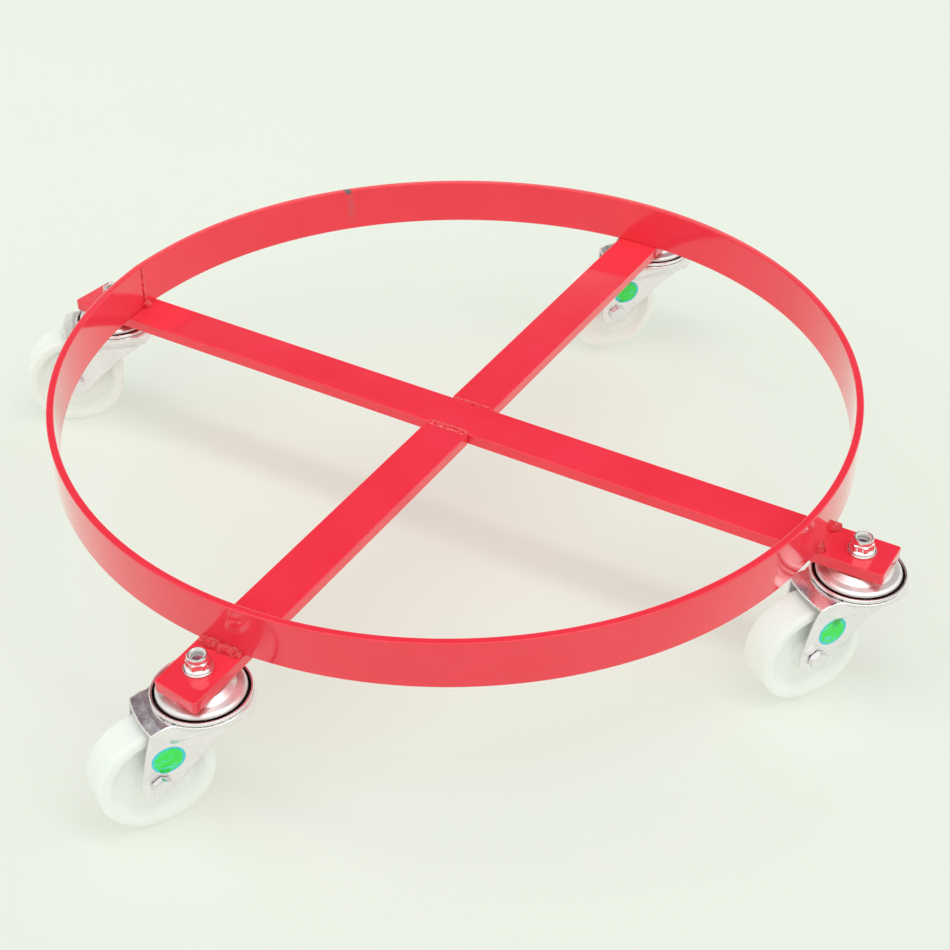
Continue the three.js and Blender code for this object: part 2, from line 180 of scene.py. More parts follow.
def rounded(points, radius, steps=4, support=0.3):
    """A closed outline with each corner rounded. A point's third number is a radius of its own.

    Where there is room, a point at the distance support from each rounding keeps the straight side flat.
    """
    outline = []
    for i, point in enumerate(points):
        neighbours = points[i - 1], point, points[(i + 1) % len(points)]
        before, corner, after = (np.array(p[:2], float) for p in neighbours)
        back, ahead = before - corner, after - corner
        back_length, ahead_length = np.linalg.norm(back), np.linalg.norm(ahead)
        back, ahead = back / back_length, ahead / ahead_length
        half_turn = math.acos(np.clip(back @ ahead, -1, 1)) / 2
        wanted = point[2] if len(point) > 2 else radius
        trim = min(wanted / math.tan(half_turn), 0.45 * back_length, 0.45 * ahead_length)
        if back_length > 3 * (trim + support):
            outline.append(corner + back * (trim + support))
        for t in np.linspace(0, 1, steps + 1):
            outline.append(corner + back * trim * (1 - t) ** 2 + ahead * trim * t**2)
        if ahead_length > 3 * (trim + support):
            outline.append(corner + ahead * (trim + support))
    return np.array(outline)


def turned(outline, steps=96):
    """A solid about Z from a closed outline of (radius, height)."""
    outline = np.asarray(outline, float)
    angle = np.linspace(0, 2 * math.pi, steps, endpoint=False)[:, None]
    vertices = about_z(outline[:, 0][None], angle, outline[:, 1][None])
    return vertices.reshape(-1, 3), quads(steps, len(outline), True, True)


def hexagonal(width, low, high, bore=0.0, flange=None, steps=96):
    """A hexagonal head or nut on Z with chamfered corners, a bore, and a conical flange if asked for."""
    angle = np.linspace(0, 2 * math.pi, steps, endpoint=False)
    offset = (angle + math.pi / 6) % (math.pi / 3) - math.pi / 6
    hexagon = np.minimum(width / 2 / np.cos(offset), width / math.sqrt(3) * 0.985)
    flat = 0.475 * width
    drop = np.maximum(hexagon - flat, 0) * math.tan(math.radians(27))
    rows = [(bore, high), (flat * 0.97, high), (flat, high - 0.03)]
    rows += [(hexagon, high - 0.1 - drop), (hexagon, high - 0.4 - drop)]
    if flange:
        rows += [(hexagon, low + 2.2), (np.maximum(hexagon, flange * 0.86), low + 1.7)]
        rows += [(flange, low + 0.9), (flange, low + 0.3), (flange - 0.3, low)]
    else:
        rows += [(hexagon, low + 0.4 + drop), (hexagon, low + 0.1 + drop), (flat, low)]
    rows.append((bore, low))
    vertices = np.concatenate([about_z(r, angle, z) for r, z in rows])
    return vertices, quads(len(rows), steps, bore > 0, True)


def threaded(radius, low, high, pitch=1.25, steps=48):
    """A threaded bolt end on Z, chamfered at the top and closed at both ends."""
    angle = np.linspace(0, 2 * math.pi, steps, endpoint=False)[None]
    z = np.linspace(low, high, int((high - low) / pitch * 8))[:, None]
    phase = (z / pitch - angle / (2 * math.pi)) % 1
    r = radius - 0.6 * pitch * np.abs(phase - 0.5)
    r = np.minimum(r, radius - 1.0 + (high - z) * 1.2)
    r[0] = r[-1] = 0
    r = np.concatenate([r[:1], r[1:2], r[1:-1], r[-2:-1], r[-1:]])
    z = np.concatenate([z[:1], z[:1], z[1:-1], z[-1:], z[-1:]])
    return about_z(r, angle, z).reshape(-1, 3), quads(len(z), steps, False, True)


def ball_row(row, radius, height, count):
    """A row of separate balls round Z."""
    polar = np.linspace(0, math.pi, 9)[:, None]
    around = np.linspace(0, 2 * math.pi, 14, endpoint=False)[None]
    ball = about_z(np.sin(polar), around, np.cos(polar)).reshape(-1, 3) * radius
    faces = quads(9, 14, False, True)
    centres = about_z(row, 2 * math.pi * np.arange(count) / count, height)
    return merged(*[(ball + centre, faces) for centre in centres])


def wander(length, spacing, seed):
    """A smooth random function of distance along a weld, between -1 and 1."""
    knots = np.random.default_rng(seed).uniform(-1, 1, int(length / spacing) + 6)
    return lambda s: np.interp(np.asarray(s) / spacing + 1, np.arange(len(knots)), knots)


def bead(corner, toe_a, toe_b, bulge, height, seed, pitch=1.7, rough=1.0, taper=2.5):
    """A weld bead along a path. Toes and bulge are offsets from each corner point of the path."""
    toe_a, toe_b, bulge = (np.broadcast_to(offset, corner.shape) for offset in (toe_a, toe_b, bulge))
    s = np.concatenate([[0], np.cumsum(np.linalg.norm(np.diff(corner, axis=0), axis=1))])
    slow_a, slow_b, slow_h = (wander(s[-1], 2.6, seed + k)(s)[:, None, None] for k in range(3))
    fine = wander(s[-1], 0.7, seed + 3)(s)[:, None, None]
    t = np.linspace(0, 1, 13)[None, :, None]
    phase = s[:, None, None] / pitch + 0.25 * slow_h - 1.4 * (t - 0.5) ** 2
    crest = (1 - phase % 1) ** 1.6
    reach_a = 1 + rough * (0.14 * slow_a + 0.05 * crest)
    reach_b = 1 + rough * (0.14 * slow_b + 0.05 * crest)
    rise = height * (0.62 + rough * (0.50 * crest + 0.22 * slow_h + 0.10 * fine)) * np.sin(math.pi * t) ** 0.8
    section = toe_a[:, None] * reach_a * (1 - t) + toe_b[:, None] * reach_b * t + bulge[:, None] * rise
    end = np.clip(np.minimum(s, s[-1] - s) / taper, 0, 1)[:, None, None] ** 0.45
    rings = np.concatenate([corner[:, None] + section * end, corner[:, None]], 1)
    columns = rings.shape[1]
    return rings.reshape(-1, 3), quads(len(s), columns, False, True)


def spatter(spots, seed):
    """Small round drops of weld metal, each at (x, y, z) on a surface."""
    random = np.random.default_rng(seed)
    drops = []
    for spot in spots:
        vertices, faces = ball_row(0, random.uniform(0.25, 0.6), 0, 1)
        drops.append((vertices * random.uniform(0.8, 1.2, 3) + np.array(spot), faces))
    return drops


# ---- Distance fields, for the pressed fork ----


def polygon_distance(points, x, z):
    """Signed distance to a closed outline, negative inside."""
    best = np.full(np.broadcast(x, z).shape, 1e9)
    inside = np.zeros(best.shape, bool)
    for (ax, az), (bx, bz) in zip(points, np.roll(points, -1, 0)):
        ex, ez = bx - ax, bz - az
        t = np.clip(((x - ax) * ex + (z - az) * ez) / (ex * ex + ez * ez), 0, 1)
        best = np.minimum(best, np.hypot(x - ax - t * ex, z - az - t * ez))
        crosses = (az > z) != (bz > z)
        inside ^= crosses & (x < ax + (z - az) * ex / (ez if ez else 1e-9))
    return np.where(inside, -best, best)


def union(a, b, radius):
    """The smaller of two fields, with the corner between them filled to a radius."""
    h = np.clip(0.5 + 0.5 * (b - a) / radius, 0, 1)
    return b + (a - b) * h - radius * h * (1 - h)


def overlap(a, b, radius):
    """The larger of two fields, with the corner between them rounded off to a radius."""
    return -union(-a, -b, radius)


def surface(field, low, step):
    """The zero surface of a field on a grid, as one vertex in each cell that it crosses."""
    size = np.array(field.shape)
    offsets = np.array([(i, j, k) for i in (0, 1) for j in (0, 1) for k in (0, 1)])
    corners = [field[tuple(slice(o, n - 1 + o) for o, n in zip(offset, size))] for offset in offsets]
    corners = np.stack(corners, -1)
    crossed = (corners.min(-1) < 0) & (corners.max(-1) >= 0)
    cells, values = np.argwhere(crossed), corners[crossed]
    total, count = np.zeros((len(cells), 3)), np.zeros((len(cells), 1))
    for a in range(8):
        for b in range(a + 1, 8):
            if np.abs(offsets[a] - offsets[b]).sum() != 1:
                continue
            hit = (values[:, a] < 0) != (values[:, b] < 0)
            t = (values[hit, a] / (values[hit, a] - values[hit, b]))[:, None]
            total[hit] += offsets[a] + t * (offsets[b] - offsets[a])
            count[hit] += 1
    index = np.full(size - 1, -1)
    index[crossed] = np.arange(len(cells))
    faces = []
    for axis in range(3):
        u, v = (axis + 1) % 3, (axis + 2) % 3
        here = np.argwhere(np.diff(field < 0, axis=axis))
        within = [(here[:, w] > 0) & (here[:, w] < size[w] - 1) for w in (u, v)]
        here = here[within[0] & within[1]]
        du, dv = np.eye(3, dtype=int)[u], np.eye(3, dtype=int)[v]
        around = [index[tuple((here - d).T)] for d in (0 * du, du, du + dv, dv)]
        faces.append(np.stack(around, -1))
    faces = np.concatenate(faces)
    return (cells + total / count) * step + low, faces[(faces >= 0).all(1)].tolist()


def fork_surface(step):
    """Crown, rolled rim, shoulder, legs, axle bosses and tongue, pressed from one sheet."""
    low = np.array([-38.013, -38.317, -75.021])
    high = np.array([57.0, 38.5, -6.0])
    xs, ys, zs = (np.arange(a, b, step) for a, b in zip(low, high))
    x, y, z = np.meshgrid(xs, ys, zs, indexing="ij")
    side = np.abs(y)
    r = np.hypot(x, y)

    # The shoulder is round above and narrows to the legs, which trail behind it.
    circle = r - np.interp(-z, [10, 13, 16, 19], [33.2, 34.5, 35.2, 35.2])
    width = LEG_OUTSIDE + 1.15 * np.log1p(np.exp(z + 29.6))
    shoulder = overlap(circle, side - width, 4)
    splay = LEG_OUTSIDE + 0.24 * 2 * np.log1p(np.exp((z + 29) / 2))
    behind = np.maximum(np.maximum(side - splay, -x), x - 70)
    body = union(shoulder, behind, 1e-6 + 4 * np.clip((z + 29) / 8, 0, 1))
    body = overlap(body, z + 11.1, 0.6)
    # Divided by its slope, the field is nearly a distance, which keeps the sheet equally thick.
    slope = np.sqrt(sum(g * g for g in np.gradient(body, step)))
    body /= np.clip(slope, 0.4, 2)
    sheet = np.abs(body + SHEET / 2) - SHEET / 2

    # The side view trims the sheet, with a round heel about the axle.
    turn = np.radians(np.linspace(8, -132, 28))
    heel = np.stack([TRAIL + 12.5 * np.cos(turn), -AXLE_DROP + 12.5 * np.sin(turn)], -1)
    front = [(19, -57), (10.5, -50.5), (1.6, -42.5), (-7, -36.5), (-14, -32), (-20, -25.8), (-25, -19.8)]
    front += [(-30, -16.5), (-36, -15), (-41, -15)]
    front = rounded([(*heel[-1], 0.1)] + front + [(-41, -4, 0.1)], 14)
    front = front[(front[:, 0] < heel[-1][0] - 1) & (front[:, 1] < -15) & (front[:, 0] > -40)]
    outline = np.concatenate([heel, front, [(-41, -4), (28, -4), (29, -11.8), (43.3, -15.6)]])
    trim = polygon_distance(outline, xs[:, None], zs[None])[:, None, :]
    fork = overlap(sheet, trim, 0.45)

    axle = np.hypot(x - TRAIL, z + AXLE_DROP)
    boss = np.maximum(axle - 9.8, np.abs(side - LEG_OUTSIDE) - BOSS_HEIGHT * 0.7)
    fork = union(fork, boss, 0.7)
    fork = overlap(fork, AXLE_HOLE_R - axle, 0.3)

    # The crown, its rim and the tongue need only the top of the grid.
    top = zs > -19
    crown = [(8, -12), (29.5, -12), (32.3, -12), (33.3, -13), (33.6, -15), (31, -14.2), (8, -14)]
    rim = polygon_distance(crown, r[:, :, top], z[:, :, top])
    bulge = 2.2 * (1 - (y[:, :, top] / TONGUE_HALF) ** 2) * np.clip((x[:, :, top] - 33) / 9, 0, 1)
    strip = [(22, -12.3), (30, -11.3), (36, -11.9), (43, -14.2)]
    strip += [(42.4, -16.1), (35.4, -13.9), (30, -13.3), (22, -14)]
    tongue = polygon_distance(strip, x[:, :, top] - bulge, z[:, :, top])
    tongue = overlap(tongue, side[:, :, top] - TONGUE_HALF, 0.4)
    fork[:, :, top] = union(union(fork[:, :, top], rim, 1.0), tongue, 0.5)
    return surface(fork, low, step)


# ---- Materials ----


class Surface:
    """A Principled material with a few procedural layers."""

    def __init__(self, name, **sockets):
        self.material = bpy.data.materials.new(name)
        self.material.use_nodes = True
        self.tree = self.material.node_tree
        self.shader = self.tree.nodes["Principled BSDF"]
        self.coordinates = self.node("ShaderNodeTexCoord").outputs["Object"]
        for socket, value in sockets.items():
            self.shader.inputs[socket.replace("_", " ")].default_value = value

    def node(self, kind, **inputs):
        """A new node with its inputs set or linked."""
        node = self.tree.nodes.new(kind)
        for socket, value in inputs.items():
            self.feed(node.inputs[socket.replace("_", " ")], value)
        return node

    def feed(self, socket, value):
        """Links a socket when the value is another node's output, and sets it when not."""
        if isinstance(value, bpy.types.NodeSocket):
            self.tree.links.new(value, socket)
        else:
            socket.default_value = value

    def noise(self, scale, detail=3.0, stretch=None, distortion=0.0):
        """Fractal noise. The scale is how many features there are in a metre."""
        place = self.coordinates
        if stretch:
            place = self.node("ShaderNodeMapping", Vector=place, Scale=stretch).outputs[0]
        inputs = {"Vector": place, "Scale": scale, "Detail": detail, "Distortion": distortion}
        return self.node("ShaderNodeTexNoise", **inputs).outputs["Fac"]

    def spread(self, value, low, high, start=0.3, end=0.7):
        """A value stretched from start..end to low..high."""
        node = self.node("ShaderNodeMapRange", Value=value)
        for socket, number in (("From Min", start), ("From Max", end), ("To Min", low), ("To Max", high)):
            node.inputs[socket].default_value = number
        return node.outputs[0]

    def mix(self, factor, a, b):
        """Colour a where the factor is 0, and b where it is 1."""
        node = self.tree.nodes.new("ShaderNodeMix")
        node.data_type = "RGBA"
        self.feed(node.inputs["Factor"], factor)
        for socket, colour in ((node.inputs[6], a), (node.inputs[7], b)):
            self.feed(socket, colour if isinstance(colour, bpy.types.NodeSocket) else (*colour, 1.0))
        return node.outputs[2]

    def bump(self, height, depth, below=None):
        """Relief of a height between 0 and 1. The depth is in millimetres."""
        node = self.node("ShaderNodeBump", Height=height, Distance=depth * MM, Strength=1.0)
        if below is not None:
            self.feed(node.inputs["Normal"], below)
        return node.outputs[0]

    def near(self, centre, reach):
        """1 at a place on the object, in millimetres, falling to 0 at the reach along each axis."""
        scale = [1 / (MM * value) for value in reach]
        shift = [-MM * c * s for c, s in zip(centre, scale)]
        local = self.node("ShaderNodeMapping", Vector=self.coordinates, Location=shift, Scale=scale)
        length = self.node("ShaderNodeVectorMath", Vector=local.outputs[0])
        length.operation = "LENGTH"
        return self.spread(length.outputs["Value"], 1.0, 0.0, 0.0, 1.0)

    def math(self, operation, a, b):
        """One sum, product or other operation on two values."""
        node = self.tree.nodes.new("ShaderNodeMath")
        node.operation = operation
        self.feed(node.inputs[0], a)
        self.feed(node.inputs[1], b)
        return node.outputs[0]

    def set(self, **sockets):
        """Feeds the shader and gives the finished material."""
        for socket, value in sockets.items():
            self.feed(self.shader.inputs[socket.replace("_", " ")], value)
        return self.material


def red_paint(name, chip=False):
    """Glossy red enamel with a little orange peel, thin and darker in patches."""
    paint = Surface(name, IOR=1.33, Coat_Weight=1.0, Coat_Roughness=0.10, Coat_IOR=1.4)
    cloud = paint.noise(14, 4)
    colour = paint.mix(paint.spread(cloud, 0, 1), (0.94, 0.032, 0.058), (0.98, 0.043, 0.078))
    speck = paint.spread(paint.noise(420, 2), 0, 0.5, 0.68, 0.76)
    colour = paint.mix(speck, colour, (0.84, 0.022, 0.036))
    roughness = paint.spread(paint.noise(46, 5), 0.10, 0.19)
    peel = paint.bump(paint.noise(330, 2), 0.035)
    peel = paint.bump(paint.noise(45, 2), 0.12, peel)
    if chip:
        x, y = CHIP_AT
        spot = paint.near((x, y, RING_HEIGHT - 1.4), (5.5, 5.5, 5))
        streak = paint.near((x + 2, y + 2, 22), (5, 5, 18))
        ragged = paint.math("ADD", spot, paint.spread(paint.noise(320, 3), -0.22, 0.22))
        bare = paint.spread(ragged, 0, 1, 0.38, 0.5)
        stain = paint.math("MULTIPLY", streak, paint.spread(paint.noise(260, 4), 0.1, 0.75))
        colour = paint.mix(stain, colour, (0.42, 0.16, 0.17))
        colour = paint.mix(bare, colour, (0.12, 0.13, 0.13))
        roughness = paint.math("ADD", roughness, paint.math("MULTIPLY", bare, 0.25))
        peel = paint.bump(bare, -0.12, peel)
    return paint.set(Base_Color=colour, Roughness=roughness, Normal=peel)


def zinc(name, light, dark, smooth, rough, grain):
    """Zinc plated steel: faint clouds of tint, fine grain and light scuffs."""
    metal = Surface(name, Metallic=1.0)
    cloud = metal.noise(70, 4, distortion=0.6)
    colour = metal.mix(metal.spread(cloud, 0, 1), light, dark)
    tint = metal.mix(metal.spread(metal.noise(28, 2), 0, 0.5), colour, (0.86, 0.80, 0.83))
    scuff = metal.noise(900, 4, stretch=(1, 0.08, 1))
    roughness = metal.spread(metal.noise(160, 5), smooth, rough)
    roughness = metal.math("ADD", roughness, metal.spread(scuff, 0, 0.08, 0.55, 0.75))
    relief = metal.bump(metal.noise(1400, 3), 0.006 * grain)
    relief = metal.bump(metal.noise(110, 3), 0.035 * grain, relief)
    return metal.set(Base_Color=tint, Roughness=roughness, Normal=relief)


def nylon():
    """Natural nylon: milky and a little see-through, with fine scuffs on a satin skin."""
    plastic = Surface("natural_nylon", IOR=1.53, Subsurface_Weight=0.55, Subsurface_Scale=0.012)
    plastic.shader.inputs["Subsurface Radius"].default_value = (0.9, 1.0, 0.95)
    colour = plastic.mix(plastic.spread(plastic.noise(35, 3), 0, 1), (0.92, 0.95, 0.91), (0.96, 0.98, 0.95))
    grime = plastic.spread(plastic.noise(190, 5), 0, 0.25, 0.62, 0.78)
    colour = plastic.mix(grime, colour, (0.82, 0.85, 0.80))
    roughness = plastic.spread(plastic.noise(120, 5), 0.28, 0.42)
    relief = plastic.bump(plastic.noise(700, 3), 0.012)
    relief = plastic.bump(plastic.noise(60, 2), 0.08, relief)
    return plastic.set(Base_Color=colour, Roughness=roughness, Normal=relief)


def gap_shade():
    """Near-black painted shade for the gaps in the bearing, with a wet, uneven skin like grease."""
    film = Surface("painted_gap_shade", IOR=1.45)
    colour = film.mix(film.spread(film.noise(300, 3), 0, 1), (0.006, 0.005, 0.005), (0.020, 0.016, 0.013))
    roughness = film.spread(film.noise(200), 0.35, 0.6)
    return film.set(Base_Color=colour, Roughness=roughness, Normal=film.bump(film.noise(600, 3), 0.15))


def label_film(name):
    """The satin film under both printed colours, without its colour."""
    film = Surface(name, IOR=1.48, Coat_Weight=0.3, Coat_Roughness=0.15)
    film.set(Roughness=film.spread(film.noise(90), 0.3, 0.42), Normal=film.bump(film.noise(150, 2), 0.03))
    return film


def label_green():
    """Printed film: fresh green with soft, pale blue-green waves."""
    film = label_film("label_green")
    wave = film.noise(150, 1, stretch=(1, 1, 2.2), distortion=0.8)
    wave = film.spread(wave, 0, 0.8, 0.56, 0.64)
    return film.set(Base_Color=film.mix(wave, (0.03, 0.86, 0.08), (0.10, 0.78, 0.72)))


def label_border():
    """The label's blue-green edge, slightly uneven in tone."""
    film = label_film("label_border")
    tone = film.spread(film.noise(160), 0, 1)
    return film.set(Base_Color=film.mix(tone, (0.03, 0.64, 0.86), (0.06, 0.74, 0.78)))


def weld_paint():
    """The same enamel over a weld, with random patches of painted shade for the hollows and pale painted
    glints on the crests.
    """
    paint = Surface("red_enamel_welds_with_painted_light", IOR=1.36, Coat_Weight=1.0, Coat_Roughness=0.08, Coat_IOR=1.4)
    # Painted shade: random darker red patches that stand for shade in the bead's hollows.
    painted_shade_patches = paint.spread(paint.noise(380, 3), 0, 1, 0.42, 0.58)
    colour = paint.mix(painted_shade_patches, (0.96, 0.040, 0.070), (0.80, 0.014, 0.026))
    # Painted highlight: pale pink glints scattered as if on the bead's crests.
    crest = paint.spread(paint.noise(620, 2, distortion=0.4), 0, 0.8, 0.62, 0.72)
    colour = paint.mix(crest, colour, (1.0, 0.36, 0.38))
    roughness = paint.spread(paint.noise(200), 0.15, 0.35)
    return paint.set(Base_Color=colour, Roughness=roughness, Normal=paint.bump(paint.noise(900, 3), 0.12))


RING_PAINT = red_paint("red_enamel_ring", chip=True)
BAR_PAINT = red_paint("red_enamel_bars")
WELD_PAINT = weld_paint()
PRESSED = zinc("zinc_pressed_steel", (0.96, 0.93, 0.95), (0.92, 0.87, 0.90), 0.22, 0.31, 0.2)
CAP_STEEL = zinc("zinc_drawn_cap", (0.93, 0.91, 0.92), (0.86, 0.82, 0.85), 0.36, 0.46, 0.2)
BRIGHT = zinc("zinc_fasteners", (0.90, 0.89, 0.90), (0.83, 0.83, 0.85), 0.12, 0.2, 0.5)
BALL_STEEL = zinc("ball_steel", (0.80, 0.80, 0.80), (0.72, 0.72, 0.73), 0.06, 0.12, 0.2)
NYLON = nylon()
# Near-black painted shade for the bearing's gaps and the top cap's underside.
GAP_SHADE = gap_shade()
LABEL_GREEN = label_green()
LABEL_BORDER = label_border()


# ---- Ring ----


def ring_drift(angle):
    """How far the hand-rolled ring is from round, with its ends meeting at a slight corner at the seam."""
    drift = -1.4 * np.cos(3 * angle) + 0.17 * np.sin(3 * angle)
    drift += 0.4 * np.cos(4 * angle) - 0.65 * np.sin(4 * angle)
    off_seam = np.abs((angle - SEAM_ANGLE + math.pi) % (2 * math.pi) - math.pi) / math.radians(9)
    return drift + 0.9 * np.clip(1 - off_seam, 0, 1) ** 2 - 0.3


def ring():
    """The band on edge, with eased corners."""
    steps = 720
    angle = np.linspace(0, 2 * math.pi, steps, endpoint=False)
    half = RING_THICKNESS / 2
    section = rounded([(-half, 0), (half, 0), (half, RING_HEIGHT), (-half, RING_HEIGHT)], 0.9, 4, 0.5)
    r = RING_R - half + ring_drift(angle)[:, None] + section[None, :, 0]
    vertices = about_z(r, angle[:, None], section[None, :, 1])
    return vertices.reshape(-1, 3), quads(steps, len(section), True, True)


place(make_mesh("rolled_ring", ring(), RING_PAINT), "rolled_ring", "frame", ["ring"], "red_paint")


# ---- Bars ----


def flat_bar(name, outline, holes):
    """A bar from its plan, with rolled edges. Its top face is at z = 0."""
    curve = bpy.data.curves.new(name, "CURVE")
    curve.dimensions = "2D"
    curve.fill_mode = "BOTH"
    curve.extrude = (BAR_THICKNESS / 2 - BAR_EDGE_R) * MM
    curve.bevel_depth = BAR_EDGE_R * MM
    curve.bevel_resolution = 3
    curve.offset = -BAR_EDGE_R * MM
    turn = np.linspace(0, 2 * math.pi, 48, endpoint=False)
    circle = np.stack([BOLT_HOLE_R * np.cos(turn), BOLT_HOLE_R * np.sin(turn)], -1)
    loops = [outline, *[circle + hole for hole in holes]]
    for loop in loops:
        spline = curve.splines.new("POLY")
        spline.points.add(len(loop) - 1)
        for point, (x, y) in zip(spline.points, loop):
            point.co = (x * MM, y * MM, 0, 1)
        spline.use_cyclic_u = True
    shape = bpy.data.objects.new(name, curve)
    mesh = evaluated(shape)
    solid = bmesh.new()
    solid.from_mesh(mesh)
    bmesh.ops.remove_doubles(solid, verts=solid.verts, dist=1e-6)
    solid.to_mesh(mesh)
    solid.free()
    mesh.transform(Matrix.Translation((0, 0, -BAR_THICKNESS / 2 * MM)))
    mesh.materials.clear()
    mesh.materials.append(BAR_PAINT)
    mesh.shade_smooth()
    piece = place(mesh, name, "frame", [name.replace("_steel", "")], "red_paint")
    piece.modifiers.new("flat_faces_stay_flat", "WEIGHTED_NORMAL").weight = 100


def bar_plan(corners):
    """A bar seen from above, with its corners just broken."""
    return rounded(corners, 2.2, 5, 40)


def bolt_centre(name):
    """Where a caster's bolt goes through its bar."""
    x, y, _ = joints[f"swivel_{name}"]["pos_m"]
    return x / MM, y / MM


half = BAR_WIDTH / 2
low_y, high_y = LONG_BAR_Y - half, LONG_BAR_Y + half
left_x, right_x = SHORT_BARS_X - half, SHORT_BARS_X + half
flat_bar(
    "long_cross_bar_steel",
    bar_plan([(-357, low_y), (350, low_y), (350, high_y), (-353, high_y)]),
    [bolt_centre("rear_left"), bolt_centre("front_right")],
)
flat_bar(
    "short_cross_bar_front_steel",
    bar_plan([(left_x, low_y - 0.1), (left_x, -350.3), (right_x, -355.3), (right_x, low_y - 0.1)]),
    [bolt_centre("front_left")],
)
flat_bar(
    "short_cross_bar_rear_steel",
    bar_plan([(left_x, high_y + 0.1), (right_x, high_y + 0.1), (right_x, 353), (left_x, 353)]),
    [bolt_centre("rear_right")],
)

# ---- Welds ----


def straight(start, end, spacing=0.3):
    """Evenly spaced points from start to end."""
    start, end = np.array(start, float), np.array(end, float)
    count = int(np.linalg.norm(end - start) / spacing) + 2
    return start + (end - start) * np.linspace(0, 1, count)[:, None]


def place_weld(name, part):
    """A painted bead on the frame, which stands for the CAD node of the same name."""
    place(make_mesh(name, part, WELD_PAINT), name, "frame", [name.replace("_bead", "")], "red_paint")


def butt_weld(name, y, width, height, seed):
    """A bead across a half bar's end, on the bars' top face."""
    path = straight((left_x + 1, y, -0.15), (right_x - 1, y, -0.15))
    path[:, 1] += 0.35 * wander(BAR_WIDTH, 4, seed + 9)(path[:, 0] - left_x)
    toes = (0, -width / 2, 0.1), (0, width / 2, 0.1)
    place_weld(name, bead(path, *toes, (0, 0, 1), height, seed, pitch=1.9))


def ring_weld(name, centre, half_length, side, seed, leg=5.2, height=1.6, drops=0, rough=1.35):
    """A fillet bead between the ring's wall and a bar. side is 1 outside the ring, -1 inside."""
    reach = half_length / RING_R
    angle = centre + np.linspace(-reach, reach, int(half_length / 0.15))
    wall = RING_R + ring_drift(angle) - (RING_THICKNESS if side < 0 else 0) - side * 0.15
    away = about_z(1, angle, 0)
    corner = away * wall[:, None] + (0, 0, -0.1)
    up = np.array([0, 0, 1.0])
    bulge = (away * side + up) / math.sqrt(2)
    parts = [bead(corner, away * side * leg, up * leg, bulge, height, seed, 1.5, rough)]
    if drops:
        random = np.random.default_rng(seed)
        turn = centre + random.uniform(-reach, reach, drops)
        out = RING_R + random.uniform(7, 15, drops)
        parts += spatter(about_z(out, turn, 0), seed)
    place_weld(name, merged(*parts))


butt_weld("cross_weld_front_bead", low_y, 7.5, 1.5, 11)
butt_weld("cross_weld_rear_bead", high_y, 4.6, 0.5, 12)
front_turn = math.atan2(-RING_R, SHORT_BARS_X)
rear_turn = math.atan2(RING_R, SHORT_BARS_X)
right_turn = math.atan2(LONG_BAR_Y, RING_R)
ring_weld("ring_weld_front_left_bead", front_turn, half - 1, 1, 21, drops=9)
ring_weld("ring_weld_rear_right_bead", rear_turn, half - 1, 1, 22, drops=7)
tack = (half - 4.5) / RING_R
bold = {"leg": 5.6, "height": 1.8, "drops": 3, "rough": 1.6}
ring_weld("ring_weld_front_right_a_bead", right_turn - tack, 4.2, 1, 23, **bold)
ring_weld("ring_weld_front_right_b_bead", right_turn + tack, 4.2, 1, 24, **bold)
ring_weld("ring_weld_rear_left_bead", math.pi - 0.5 / RING_R, 4.4, -1, 25, leg=5.4, height=1.8)


def seam_weld():
    """The upright bead inside the ring over its closed ends, leaning a little."""
    inside = RING_R + ring_drift(np.array([SEAM_ANGLE]))[0] - RING_THICKNESS
    path = straight((0.2 - inside, -0.6, 5.2), (0.2 - inside, 0.9, RING_HEIGHT - 0.4))
    return bead(path, (0.1, 1.5, 0), (0.1, -1.5, 0), (1, 0, 0), 0.75, 31, pitch=2.2, taper=1.2)


place_weld("ring_seam_weld_bead", seam_weld())

# ---- Caster pieces, in the caster's own frame ----
# Its origin is on the swivel axis at the bar's underside, and +X trails.

washer_low = BAR_THICKNESS + 0.05
nut_low = washer_low + 1.7
nut_high = washer_low + 12.4

washer = [(KING_BORE_R, washer_low), (WASHER_R, washer_low)]
washer += [(WASHER_R - 0.3, washer_low + 1.6), (KING_BORE_R, washer_low + 1.7)]
WASHER = make_mesh("washer", turned(rounded(washer, 0.5), 72), BRIGHT)

collar = [(THREAD_BORE_R, nut_low + 6.2), (6.9, nut_low + 6.2), (7.05, nut_high - 1.1), (6.5, nut_high)]
collar += [(5.7, nut_high), (5.35, nut_high - 0.8), (THREAD_BORE_R, nut_high - 1.1)]
LOCK_NUT = make_mesh(
    "lock_nut",
    merged(
        hexagonal(NUT_HEX, nut_low, nut_low + 6.7, THREAD_BORE_R, flange=9.0),
        turned(rounded(collar, 0.35), 72),
    ),
    BRIGHT,
    sharp=38,
)
insert = [(4.4, nut_high - 3.4), (5.25, nut_high - 3.4), (5.25, nut_high - 0.9), (4.4, nut_high - 1.1)]
INSERT = make_mesh("lock_nut_insert", turned(rounded(insert, 0.2), 48), NYLON)

shank = rounded([(0.01, -22), (BOLT_R - 0.3, -22), (BOLT_R - 0.3, nut_low), (0.01, nut_low)], 0.2)
MOUNTING_BOLT = make_mesh(
    "mounting_bolt",
    merged(
        hexagonal(NUT_HEX, -25.4, -19.35, 0.0),
        turned(shank, 40),
        threaded(BOLT_R, nut_low - 1, nut_high - 3.2),
    ),
    BRIGHT,
    sharp=38,
)

cap = [(KING_BORE_R, -0.1, 0.2), (13, -0.1, 1.5), (18.5, -1.1, 4), (23, -4.2, 4), (27.6, -5.3, 2)]
cap += [(29.5, -6.3, 1.2), (30, -8.2, 0.4), (28.6, -8.2, 0.4), (27.9, -7.2, 1), (22, -6.2, 4)]
cap += [(17.5, -3.3, 4), (12.6, -2.2, 1.5), (KING_BORE_R, -2.2, 0.2)]
TOP_CAP = make_mesh("top_cap", turned(rounded(cap, 0.5, 6, 0.2), 128), CAP_STEEL)

